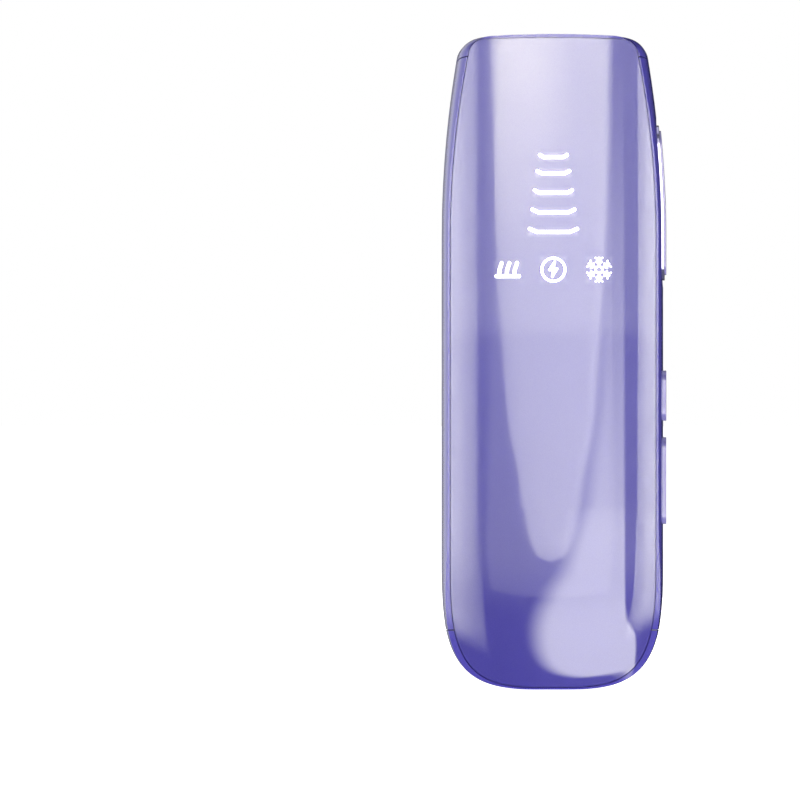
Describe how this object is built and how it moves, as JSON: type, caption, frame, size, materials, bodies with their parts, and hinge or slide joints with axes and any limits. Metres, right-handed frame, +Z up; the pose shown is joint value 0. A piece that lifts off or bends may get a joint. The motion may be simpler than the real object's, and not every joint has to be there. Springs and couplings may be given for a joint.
{
  "type": "light epilator",
  "caption": "Hand-held light epilator with a glossy crowned front panel, lit level bars, side trigger and keys, cooled window end and a rear fan intake.",
  "frame": {"origin": "on the base line under the middle of the body, at the lowest point of the foot", "axes": "+X to the button side, -Y out of the display panel, +Z up to the window end"},
  "size_m": [0.0619, 0.04, 0.1799],
  "materials": {
    "shell": "high-gloss lacquered moulding",
    "panel": "clear-coated translucent violet front",
    "lit_mark": "milky light windows, lit from behind",
    "seal": "soft foam and rubber",
    "carrier": "white moulded carrier",
    "light_guide": "milky acrylic",
    "circuit_board": "green solder mask",
    "led": "white light-emitting diodes",
    "button": "gloss lavender",
    "bright_ring": "bright plated ring",
    "switch": "black switch cases",
    "plunger": "cream switch plungers",
    "window": "polished sapphire",
    "bezel": "pearl white",
    "contact": "polished contact metal",
    "cold_metal": "milled aluminium",
    "cooler": "white ceramic plates",
    "copper": "bare copper",
    "filter": "orange cut-off filter",
    "mirror_trough": "polished sheet",
    "lamp": "clear quartz tube",
    "lamp_metal": "tungsten grey",
    "holder": "white ceramic",
    "chassis": "black moulded plastic",
    "screw": "plated steel",
    "sensor": "potted thermistor",
    "fan_bearing": "sintered bronze",
    "fan_shaft": "ground steel",
    "fan_wheel": "black moulded plastic",
    "mesh": "dark moulded mesh",
    "capacitor": "shrink sleeve",
    "core": "dark ferrite and moulded resin",
    "wire": "silicone insulation"
  },
  "bodies": {
    "handset": {"main_housing": "shell", "head_cap": "shell", "end_cap": "shell", "front_panel": "panel", "level_marks": "lit_mark", "hair_mark": "lit_mark", "flash_mark": "lit_mark", "cooling_mark": "lit_mark", "panel_seal": "seal", "window_gasket": "seal", "front_carrier": "carrier", "light_guide": "light_guide", "display_board": "circuit_board", "main_board": "circuit_board", "switch_board": "circuit_board", "display_leds": "led", "trigger_ring": "bright_ring", "switch_bodies": "switch", "sapphire_window": "window", "window_bezel": "bezel", "contact_pads": "contact", "jack_contact": "contact", "cold_frame": "cold_metal", "heat_sink": "cold_metal", "cooler_modules": "cooler", "hot_blocks": "copper", "heat_pipes": "copper", "coil_winding": "copper", "filter_glass": "filter", "reflector": "mirror_trough", "flash_lamp": "lamp", "lamp_electrodes": "lamp_metal", "lamp_holder_left": "holder", "lamp_holder_right": "holder", "optics_chassis": "chassis", "fan_housing": "chassis", "air_duct": "chassis", "capacitor_cradle": "chassis", "jack_body": "chassis", "head_screws": "screw", "carrier_screws": "screw", "board_screws": "screw", "temperature_sensor": "sensor", "fan_bearing": "fan_bearing", "intake_mesh": "mesh", "main_capacitor": "capacitor", "small_capacitors": "capacitor", "coil_core": "core", "ignition_coil": "core", "board_chips": "core", "jack_leads": "wire", "lamp_leads": "wire"},
    "trigger": {"trigger_button": "button", "trigger_plunger": "plunger"},
    "power_key": {"power_button": "button", "power_plunger": "plunger"},
    "level_key": {"level_button": "button", "level_plunger": "plunger"},
    "fan": {"fan_wheel": "fan_wheel", "fan_shaft": "fan_shaft"}
  },
  "joints": [
    {"name": "trigger_press", "type": "slide", "parent": "handset", "child": "trigger", "axis": [-1, 0, 0], "range_m": [0, 0.0006], "stiffness_N_per_m": 1500},
    {"name": "power_press", "type": "slide", "parent": "handset", "child": "power_key", "axis": [-1, 0, 0], "range_m": [0, 0.0006], "stiffness_N_per_m": 1200},
    {"name": "level_press", "type": "slide", "parent": "handset", "child": "level_key", "axis": [-1, 0, 0], "range_m": [0, 0.0006], "stiffness_N_per_m": 1200},
    {"name": "fan_spin", "type": "hinge", "parent": "handset", "child": "fan", "pos_m": [0, 0.011, 0.0975], "axis": [0, 1, 0], "continuous": true}
  ]
}
